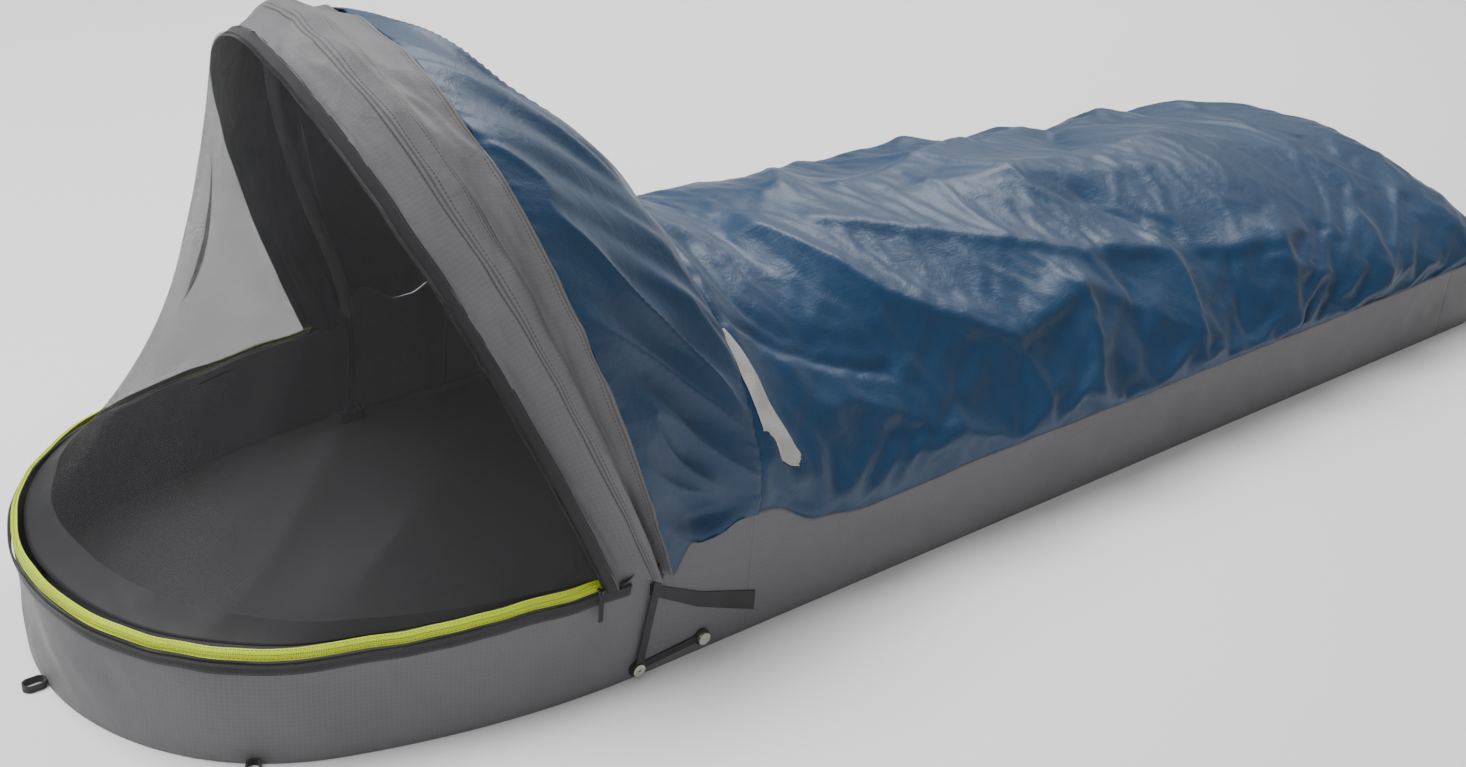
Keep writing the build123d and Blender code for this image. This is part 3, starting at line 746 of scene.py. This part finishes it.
class MakeTub(bpy.types.Operator):
    """Floor, head wall, corner panels, side bands and foot band"""
    bl_idname = "bivy.tub"
    bl_label = "Tub"

    def execute(self, context):
        ring = outline()
        wall_end = ring.distance(0.03)
        corner_end = ring.distance(CORNER_BACK)
        band_end = ring.distance(FOOT_BAND[0].x)
        wall_sheet("head_wall_cloth", -wall_end, wall_end, 260, ["head_wall"])
        for side, word in ((1, "right"), (-1, "left")):
            wall_sheet(f"corner_cloth_{word}", side * wall_end, side * corner_end, 40,
                       [f"corner_panel_{word}"])
            wall_sheet(f"band_cloth_{word}", side * corner_end, side * band_end, 220,
                       [f"side_band_{word}", f"canopy_seam_tape_{word}"])
        self.foot(ring, band_end)
        self.floor(ring)
        return {"FINISHED"}

    def foot(self, ring, start):
        """The foot band runs from one side round the foot to the other."""
        span = 2 * (ring.end - start)

        def place(u, v):
            along = u * span
            if along > span / 2:
                return wall_point(ring, -(ring.end - (along - span / 2)), v)
            return wall_point(ring, start + along, v)

        obj = cloth_grid("foot_band_cloth", 110, 12, place, (span, 0.11), material("tub"))
        face_outward(obj, spine)
        thicken(obj, sizes().cloth)
        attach(obj, "sack")
        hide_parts("foot_band")

    def floor(self, ring):
        """Floor cloth: rows from the middle of the foot round each side to the head."""
        def place(u, v):
            d = mix(-ring.end, ring.end, u)
            edge, _ = ring.at(d)
            middle = Vector((edge.x * 0.985 + 0.006, 0, 0))
            point = middle.lerp(edge, v)
            point.z = 0.0008 + abs(ruffle(point.x, point.y, 0, 0.12, 9.0)) * 0.004 * (1 - v ** 6)
            return point

        obj = cloth_grid("floor_cloth", 220, 14, place, (2.1, 0.64), material("tub"))
        bm = bmesh.new()
        bm.from_mesh(obj.data)
        bmesh.ops.remove_doubles(bm, verts=bm.verts, dist=0.0004)
        bmesh.ops.recalc_face_normals(bm, faces=bm.faces)
        bm.normal_update()
        if sum(f.normal.z * f.calc_area() for f in bm.faces) < 0:
            bmesh.ops.reverse_faces(bm, faces=bm.faces)
        bm.to_mesh(obj.data)
        bm.free()
        thicken(obj, sizes().cloth, 0)
        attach(obj, "sack")
        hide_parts("floor_panel", "floor_seam_tape")


# Canopy -------------------------------------------------------------------------------------------

CREST = ((0.16, 0.396), (0.22, 0.368), (0.32, 0.342), (0.68, 0.300), (1.10, 0.266), (1.40, 0.229),
         (1.477, 0.212))
CAP = 0.128                # length that closes down over the foot
CAP_SHARE = 0.88           # share of the cloth's length before it
FORM_INSET = 0.010
CLOTH_COLUMNS, CLOTH_ROWS = 76, 150
SETTLE_FRAMES = 24
SPARE_CLOTH = 0.035
ROUNDING = ((0.16, 2.0), (0.5, 1.95), (1.0, 1.85), (1.5, 1.7))


class Canopy:
    """The blue canopy's shape: a dome over the bands that closes down over the foot."""

    def __init__(self):
        self.ring = outline()
        self.start = MOUTH.base_x
        self.end = self.ring.foot
        self.cap = self.end - CAP

    def section(self, v):
        """x and crest height at a share of the length."""
        if v < CAP_SHARE:
            x = mix(self.start, self.cap, v / CAP_SHARE)
            return x, follow(CREST, x)
        a = (v - CAP_SHARE) / (1 - CAP_SHARE) * math.pi / 2
        base = wall_top(self.ring, self.ring.end)
        x = self.cap + CAP * math.sin(a) ** 0.62
        crest = base + (follow(CREST, self.cap) - base) * math.cos(a) ** 0.55
        return min(x, self.end), crest

    def at(self, u, v):
        """Point with u from the right band over to the left, and v from the mouth to the foot."""
        x, crest = self.section(v)
        power = follow(ROUNDING, x)
        a = math.pi * u
        up = abs(math.sin(a)) ** (2 / power)
        across = math.copysign(abs(math.cos(a)) ** (2 / power), math.cos(a))
        half = self.ring.half_at(x)
        side = self.ring.distance(min(x, self.ring.straight)) * (1 if u < 0.5 else -1)
        base = wall_top(self.ring, side) if x < self.ring.straight else wall_top(
            self.ring, self.ring.end)
        lean = (MOUTH.at(u).x - self.start) * (1 - smooth(0, 0.12, v))
        point = Vector((x + lean * up, -half * across, mix(base, crest, up)))
        normal = Vector((0, -across * 1.2, up + 0.15)).normalized()
        return point, normal, up

    def form(self, u, v):
        """The form that the cloth lies on, as the sleeper fills it."""
        return self.cloth(u, v, -FORM_INSET)

    def cloth(self, u, v, out=0.0):
        """Point on the folded cloth, or a little outside or inside it."""
        point, normal, up = self.at(u, v)
        edge = smooth(0.0, 0.14, up) * smooth(0.0, 0.05, v) * smooth(1.0, 0.93, v)
        return point + normal * (canopy_folds(u, point.x, up) * edge + out)


# Long folds of the canopy's right side: each one's run as (x, u) places, its width and its height
LONG_FOLDS = (
    (((0.35, 0.45), (0.45, 0.30), (0.60, 0.20), (0.75, 0.25)), 0.030, 0.017),
    (((0.45, 0.45), (0.60, 0.40), (0.80, 0.30)), 0.025, 0.011),
    (((0.15, 0.30), (0.40, 0.20)), 0.040, -0.016),
    (((0.90, 0.40), (1.00, 0.25)), 0.040, -0.017),
    (((0.85, 0.30), (1.05, 0.25), (1.20, 0.25)), 0.022, 0.013),
    (((0.70, 0.50), (1.05, 0.45)), 0.050, 0.009),
)
# Upright folds above the right seam: first x, step, how many, lean, width and height
UPRIGHT_FOLDS = (0.70, 0.10, 7, 0.04, 0.022, 0.012)
LEFT_SHIFT = 0.12          # the left side's folds are the right's, mirrored and moved to the foot


def all_folds():
    """Every fold: the long ones, an alternating row of upright ones, and the left side's."""
    first, step, count, lean, width, height = UPRIGHT_FOLDS
    folds = list(LONG_FOLDS)
    for i in range(count):
        x = first + step * i
        folds.append((((x + lean, 0.24), (x, 0.06)), width, height if i % 2 == 0 else -height))
    left = [(tuple((x + LEFT_SHIFT, 1 - u) for x, u in run), wide, high)
            for run, wide, high in folds]
    return folds + left


FOLDS = all_folds()
GIRTH = 0.95               # across the canopy's cloth at the mouth


def off_line(x, y, a, b):
    """Distance from a line between two places."""
    dx, dy = b[0] - a[0], b[1] - a[1]
    t = clamp01(((x - a[0]) * dx + (y - a[1]) * dy) / (dx * dx + dy * dy))
    return math.hypot(x - a[0] - t * dx, y - a[1] - t * dy)


def fold_height(x, u, fold):
    """Height that one fold adds at a place: a soft swelling with a sharp crest."""
    run, width, height = fold
    flat = [(px, pu * GIRTH) for px, pu in run]
    off = min(off_line(x, u * GIRTH, a, b) for a, b in zip(flat, flat[1:]))
    if off > width * 3:
        return 0.0
    return height * (0.45 * math.exp(-(off / width) ** 2) + 0.55 * math.exp(-off / width * 2))


def canopy_folds(u, x, up):
    """Folds of the canopy: the placed ones, slanting creases and gathers above the seam."""
    total = sum(fold_height(x, u, fold) for fold in FOLDS)
    lean = x + (u - 0.5) * 0.7
    low = smooth(0.95, 0.45, up)
    total += (ridges(lean, u * 0.4, 0.16, 0.9) - 0.4) * (0.003 + 0.007 * low)
    total += (ridges(x * 1.1 + 4 - u, x * 0.2 - u * 0.3, 0.07, 2.2) - 0.4) * 0.004 * low
    total += ruffle(x, u * GIRTH, 0, 0.26, 6.1) * 0.009
    gather = math.exp(-((up - 0.2) / 0.22) ** 2)
    total += ruffle(x, u * 0.12, 0, 0.024, 7.7) * 0.0045 * gather
    return total - 0.002


class MakeCanopy(bpy.types.Operator):
    """Blue body canopy and foot, and the light patches on its shoulders"""
    bl_idname = "bivy.canopy"
    bl_label = "Canopy"

    def execute(self, context):
        shape = Canopy()
        flat = (GIRTH, 1.55)
        obj = cloth_grid("canopy_cloth", CLOTH_COLUMNS, CLOTH_ROWS, shape.cloth, flat,
                         material("canopy"))
        face_outward(obj, spine)
        form = cloth_grid("canopy_form", 50, 100, shape.form, flat, None)
        face_outward(form, spine)
        settle(obj, lambda i: on_edge(i, CLOTH_COLUMNS, CLOTH_ROWS), form, SETTLE_FRAMES,
               SPARE_CLOTH)
        thicken(obj, sizes().cloth, inside_shade="inside_shade")
        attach(obj, "sack")
        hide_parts("body_canopy", "foot_cap")
        for side, word in ((1, "right"), (-1, "left")):
            self.patch(shape, side, word, obj)
        return {"FINISHED"}

    def patch(self, shape, side, word, canopy):
        """Long light triangle from the hood's seam down towards the band."""
        flat = (0.05, 0.20)

        def place(u, v):
            along = mix(0.262, 0.075, v)
            front = mix(0.002, 0.018, v ** 1.3)
            back = mix(0.008, 0.076, v ** 1.1)
            corner = 0.020 * smooth(0.9, 1.0, v) * abs(u - 0.45)
            share = mix(front, back, u) / (shape.cap - shape.start) * CAP_SHARE
            along += corner
            side_u = along if side > 0 else 1 - along
            point, normal, up = shape.at(side_u, share)
            edge = smooth(0.0, 0.14, up) * smooth(0.0, 0.05, share)
            height = canopy_folds(side_u, point.x, up) * edge
            return point + normal * (height + 0.004)

        obj = cloth_grid(f"patch_cloth_{word}", 10, 48, place, flat, material("patch"))
        face_outward(obj, spine)
        sewn = obj.modifiers.new("Sewn", "SHRINKWRAP")
        sewn.target = canopy
        sewn.wrap_method = "NEAREST_SURFACEPOINT"
        sewn.wrap_mode = "OUTSIDE_SURFACE"
        sewn.offset = 0.0018
        apply_modifiers(obj)
        thicken(obj, 0.0006, 1)
        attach(obj, "sack")
        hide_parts(f"reflective_patch_{word}")


# Hood ---------------------------------------------------------------------------------------------


class MakeHood(bpy.types.Operator):
    """Grey facing with its pole sleeve, and the blue crown that slopes to the canopy"""
    bl_idname = "bivy.hood"
    bl_label = "Hood"

    def execute(self, context):
        self.facing()
        self.crown()
        self.binding()
        finish_nodes("tub", "pole_sleeve")
        return {"FINISHED"}

    def facing(self):
        """From the front edge over the pole sleeve to the blue seam."""
        rows = (EDGE, SLEEVE_FRONT, SLEEVE_BACK, SEAM)
        stops = (0.0, 0.36, 0.61, 1.0)

        def place(u, v):
            for i in range(3):
                if u <= stops[i + 1] or i == 2:
                    t = (u - stops[i]) / (stops[i + 1] - stops[i])
                    break
            a, b = rows[i].at(v), rows[i + 1].at(v)
            point = a.lerp(b, clamp01(t))
            out = Vector((0.1, point.y, point.z - 0.15)).normalized()
            tube = math.sin(math.pi * clamp01((u - 0.36) / 0.25)) ** 0.7 if 0.36 < u < 0.61 else 0
            point += out * (tube * 0.0055)
            sag = math.sin(math.pi * clamp01(u / 0.36)) if u < 0.36 else math.sin(
                math.pi * clamp01((u - 0.61) / 0.39))
            low = smooth(0.5, 0.0, min(v, 1 - v) * 2)
            point -= out * (sag * (0.004 + 0.01 * low))
            length = v * 1.5
            point += out * (ruffle(length, u * 0.2, 0, 0.06, 8.8) * 0.0035)
            point += out * ((ridges(length + u * 0.1, u * 0.3, 0.07, 3.3) - 0.3) * 0.004)
            return point

        flat = (FACING_WIDTH, 1.5)
        obj = cloth_grid("hood_facing_cloth", 36, 200, place, flat, material("facing"))
        face_outward(obj, hood_middle)
        thicken(obj, sizes().cloth, inside_shade="inside_shade")
        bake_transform(obj)
        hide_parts("hood_facing")

    def crown(self):
        """Blue slope from the facing's seam to the canopy's mouth, with pulled folds."""
        ring, canopy = outline(), Canopy()

        def place(u, v):
            a = SEAM.at(u)
            c, rise, _ = canopy.at(u, 0)
            c = c + rise * 0.0015 + Vector((0.004, 0, 0))
            side = 1 if u < 0.5 else -1
            up = math.sin(math.pi * u)
            base = wall_top(ring, side * ring.distance(mix(SEAM.base_x, MOUTH.base_x, v)))
            middle = (a + c) / 2 + Vector((0.03, 0, 0.085)) * up ** 1.5
            point = bend(a, middle, c, v)
            low = smooth(0.22, 0.0, up) * smooth(0.0, 0.35, v)
            rim, normal = ring.at(side * ring.distance(mix(SEAM.base_x, MOUTH.base_x, v)))
            foot = rim + normal * 0.003
            foot.z = base
            point = point.lerp(Vector((foot.x, foot.y, max(point.z, base))), low)
            if up < 0.02 and v > 0.35:
                point.z = mix(base, point.z, up / 0.02)
            out = Vector((0.35, point.y * 1.6, point.z)).normalized()
            across = u * 1.35
            edge = math.sin(math.pi * clamp01(v)) ** 0.7 * smooth(0.0, 0.1, up)
            pulls = ruffle(across, v * 0.10, 0, 0.055, 2.9) * 0.011
            pulls += (ridges(across + v * 0.10, v * 0.12, 0.075, 1.4) - 0.35) * 0.013
            pulls -= 0.012 * math.sin(math.pi * v)
            gathers = ruffle(across, v * 0.02, 0, 0.012, 5.2) * 0.0022 * (
                math.exp(-v * 14) + math.exp(-(1 - v) * 9))
            return point + out * (pulls * edge + gathers * smooth(0.0, 0.1, up))

        flat = (1.42, CROWN_WIDTH)
        obj = cloth_grid("hood_crown_cloth", 300, 110, place, flat, material("crown"))
        face_outward(obj, hood_middle)
        thicken(obj, sizes().cloth, 0, inside_shade="inside_shade")
        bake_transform(obj)
        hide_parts("hood_crown", "hood_gusset")

    def binding(self):
        """Black tape and coil of the open storm zip, along the hood's front edge."""
        count = 200
        points, sides, coil, coil_sides = [], [], [], []
        for i in range(count + 1):
            t = i / count
            here = EDGE.at(t)
            lean = (EDGE.at(t) - SLEEVE_FRONT.at(t)).normalized()
            ahead = (lean + Vector((-0.35, 0, -0.12))).normalized()
            wave = ruffle(t * 1.5, 0, 0, 0.05, 1.1) * 0.0015
            points.append(here + ahead * (0.0055 + wave))
            sides.append(ahead)
            coil.append(here + ahead * (0.0125 + wave))
            coil_sides.append(ahead)
        tape = strap_along("hood_zip_tape_cloth", points, sides, 0.015, 0.0012, material("tape"))
        teeth = strap_along("hood_zip_teeth", coil, coil_sides, 0.0045, 0.0022, material("coil"))
        for obj, node, slot in ((tape, "hood_zip_tape", "black_tape"),
                                (teeth, "hood_zip_coil", "zip_coil")):
            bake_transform(obj)
            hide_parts(node)


def hood_middle(point):
    return Vector((point.x + 0.08, 0, 0.1))


# Mesh screen and zips -----------------------------------------------------------------------------

class MakeMesh(bpy.types.Operator):
    """Insect mesh from the head rim up to the hood's front edge"""
    bl_idname = "bivy.mesh"
    bl_label = "Mesh"

    def execute(self, context):
        ring = outline()
        reach = ring.distance(-0.035)

        def place(u, v):
            d = mix(reach, -reach, u)
            base, normal = ring.at(d, -0.010)
            base.z = WALL_HIGH.z + 0.010 + ruffle(d, 0, 0, 0.09, 3.1) * 0.0035
            top = EDGE.at(mix(0.004, 0.996, u)) + Vector((-0.012, 0, -0.002))
            point = base.lerp(top, v)
            out = Vector((-0.8, point.y * 1.2, 0.5)).normalized()
            wide = (top - base).length
            slack = math.sin(math.pi * v ** 0.85)
            folds = ruffle(u * 1.2, v * 0.10, 0, 0.085, 4.4) * 0.040
            folds += (ridges(u * 1.3 + v * 0.15, v * 0.2, 0.12, 6.5) - 0.4) * 0.030
            return point + out * ((folds - 0.125) * slack * wide)

        flat = (1.28, 0.52)
        obj = cloth_grid("mesh_cloth", 160, 60, place, flat, material("mesh"))
        face_outward(obj, hood_middle)
        thicken(obj, 0.0003)
        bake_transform(obj)
        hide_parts("mesh_screen")
        return {"FINISHED"}


def rim_strap(name, reach, out, up, lean, width, thickness, key, wave, steps=260):
    """Tape that follows the head rim; lean turns its width from upright to inward."""
    ring = outline()
    points, sides = [], []
    for i in range(steps + 1):
        d = mix(reach, -reach, i / steps)
        base, normal = ring.at(d, out + rim_flare(ring, d) + ruffle(d, 2, 0, 0.05, 6.6) * wave / 2)
        base.z = WALL_HIGH.z + up + ruffle(d, 0, 0, 0.09, 3.1) * 0.0035
        base.z += ruffle(d, 4, 0, 0.045, 8.1) * wave
        turn = lean + ruffle(d, 7, 0, 0.07, 2.1) * 0.25
        points.append(base)
        sides.append(Vector((0, 0, math.cos(turn))) - normal * math.sin(turn))
    return strap_along(name, points, sides, width, thickness, material(key))


class MakeZips(bpy.types.Operator):
    """Lime mesh zip and black storm zip round the head rim, with their sliders and pulls"""
    bl_idname = "bivy.zips"
    bl_label = "Zips"

    def execute(self, context):
        ring = outline()
        width = sizes().tape
        pieces = (
            ("mesh_zip_tape_cloth", ring.distance(-0.045), -0.004, 0.0065, 0.55, width, 0.0012,
             "lime", 0.0024, "mesh_zip_tape", "lime_tape"),
            ("mesh_zip_teeth", ring.distance(-0.045), -0.0022, 0.0075, 0.55, 0.0042, 0.0022,
             "lime_coil", 0.0024, "mesh_zip_coil", "lime_coil"),
            ("storm_zip_tape_cloth", ring.distance(-0.014), 0.0012, -0.007, -0.05, 0.016, 0.0012,
             "tape", 0.0020, "rim_storm_tape", "black_tape"),
            ("storm_zip_teeth", ring.distance(-0.014), 0.0026, -0.0025, -0.05, 0.0042, 0.0022,
             "coil", 0.0020, "rim_storm_coil", "zip_coil"),
        )
        for name, reach, out, up, lean, wide, thick, key, wave, node, slot in pieces:
            obj = rim_strap(name, reach, out, up, lean, wide, thick, key, wave)
            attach(obj, "sack")
            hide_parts(node)
        finish_nodes("slider", "mesh_slider", "storm_slider")
        finish_nodes("pull", "mesh_pull", "storm_pull")
        return {"FINISHED"}


class MakeTrim(bpy.types.Operator):
    """Straps, snap strips, stake loops, snaps and the hoop pole's finish"""
    bl_idname = "bivy.trim"
    bl_label = "Trim"

    def execute(self, context):
        finish_nodes("webbing", "snap_strip_right", "snap_strip_left", "tie_strap_right",
                     "tie_strap_left", "corner_strap_right", "corner_strap_left",
                     "pole_pocket_right", "pole_pocket_left")
        loops = [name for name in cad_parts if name.startswith("stake_loop")]
        finish_nodes("webbing", *loops)
        finish_nodes("snap", "snap_sockets", "front_snap_studs", "rear_snaps")
        finish_nodes("pole", "pole_centre", "pole_section_right", "pole_section_left")
        finish_nodes("ferrule", "pole_ferrules")
        finish_nodes("tip", "pole_tips")
        finish_nodes("cord", "pole_shock_cord")
        return {"FINISHED"}


# Stage --------------------------------------------------------------------------------------------

class MakeStage(bpy.types.Operator):
    """Pale floor, soft studio light and the camera"""
    bl_idname = "bivy.stage"
    bl_label = "Stage"

    def execute(self, context):
        self.floor()
        self.world()
        self.lamp("key", (-1.3, 0.7, 3.4), (0.5, 0, 0.2), 2.2, 190)
        self.lamp("fill", (-2.2, -2.6, 1.8), (0.0, 0, 0.2), 2.2, 16)
        self.lamp("rim", (2.6, 1.6, 2.6), (0.6, 0, 0.2), 1.8, 80)
        self.camera()
        return {"FINISHED"}

    def floor(self):
        bm = bmesh.new()
        bmesh.ops.create_grid(bm, x_segments=1, y_segments=1, size=9.0)
        m = Maker("pale_floor")
        m.set(Base_Color=m.shade(m.blur(1.5), (0.86, 0.86, 0.86), (0.9, 0.9, 0.9)), Roughness=0.9)
        floor = new_object("studio_floor", bm, m.material)
        floor.location = (0.5, 0, -0.0006)

    def world(self):
        world = bpy.data.worlds.new("studio")
        world.use_nodes = True
        world.node_tree.nodes["Background"].inputs[0].default_value = (1.0, 1.0, 1.0, 1.0)
        world.node_tree.nodes["Background"].inputs[1].default_value = 0.36
        bpy.context.scene.world = world

    def lamp(self, name, place, target, size, power):
        data = bpy.data.lights.new(name, "AREA")
        data.shape = "DISK"
        data.size = size
        data.energy = power
        lamp = bpy.data.objects.new(name, data)
        bpy.context.scene.collection.objects.link(lamp)
        away = Vector(place) - Vector(target)
        lamp.matrix_world = Matrix.Translation(place) @ away.to_track_quat("Z", "Y").to_matrix(
            ).to_4x4()

    def camera(self):
        """Camera at a standing height, ahead of the hood and to the right of the sack."""
        yaw, pitch, roll = 0.8664, 0.5202, 0.0836
        forward = Vector((math.cos(pitch) * math.cos(yaw), math.cos(pitch) * math.sin(yaw),
                          -math.sin(pitch)))
        right = forward.cross(Vector((0, 0, 1))).normalized()
        up = right.cross(forward)
        turned = right * math.cos(roll) + up * math.sin(roll)
        raised = up * math.cos(roll) - right * math.sin(roll)
        data = bpy.data.cameras.new("camera")
        data.sensor_width = 36.0
        data.lens = 51.32
        camera = bpy.data.objects.new("camera", data)
        bpy.context.scene.collection.objects.link(camera)
        turn = Matrix((turned, raised, -forward)).transposed().to_4x4()
        camera.matrix_world = Matrix.Translation((-1.108, -1.749, 1.408)) @ turn
        bpy.context.scene.camera = camera


# Add-on -------------------------------------------------------------------------------------------

OPERATORS = (MakeTub, MakeCanopy, MakeHood, MakeMesh, MakeZips, MakeTrim, MakeStage)


class SackPanel(bpy.types.Panel):
    """Lists the sack's sizes, colours and makers"""
    bl_idname = "VIEW3D_PT_bivy"
    bl_label = "Bivy sack"
    bl_space_type = "VIEW_3D"
    bl_region_type = "UI"
    bl_category = "Bivy"

    def draw(self, context):
        for group in (context.scene.sack_sizes, context.scene.sack_colours):
            for name in group.bl_rna.properties.keys():
                if name not in ("rna_type", "name"):
                    self.layout.prop(group, name)
        for operator in OPERATORS:
            self.layout.operator(operator.bl_idname)


CLASSES = (SackSizes, SackColours, *OPERATORS, SackPanel)


def register():
    for item in CLASSES:
        bpy.utils.register_class(item)
    bpy.types.Scene.sack_sizes = PointerProperty(type=SackSizes)
    bpy.types.Scene.sack_colours = PointerProperty(type=SackColours)


def unregister():
    del bpy.types.Scene.sack_sizes
    del bpy.types.Scene.sack_colours
    for item in reversed(CLASSES):
        bpy.utils.unregister_class(item)


def main():
    register()
    bpy.ops.bivy.stage()
    bpy.ops.bivy.tub()
    bpy.ops.bivy.canopy()
    bpy.ops.bivy.hood()
    bpy.ops.bivy.mesh()
    bpy.ops.bivy.zips()
    bpy.ops.bivy.trim()


if __name__ == "__main__":
    main()
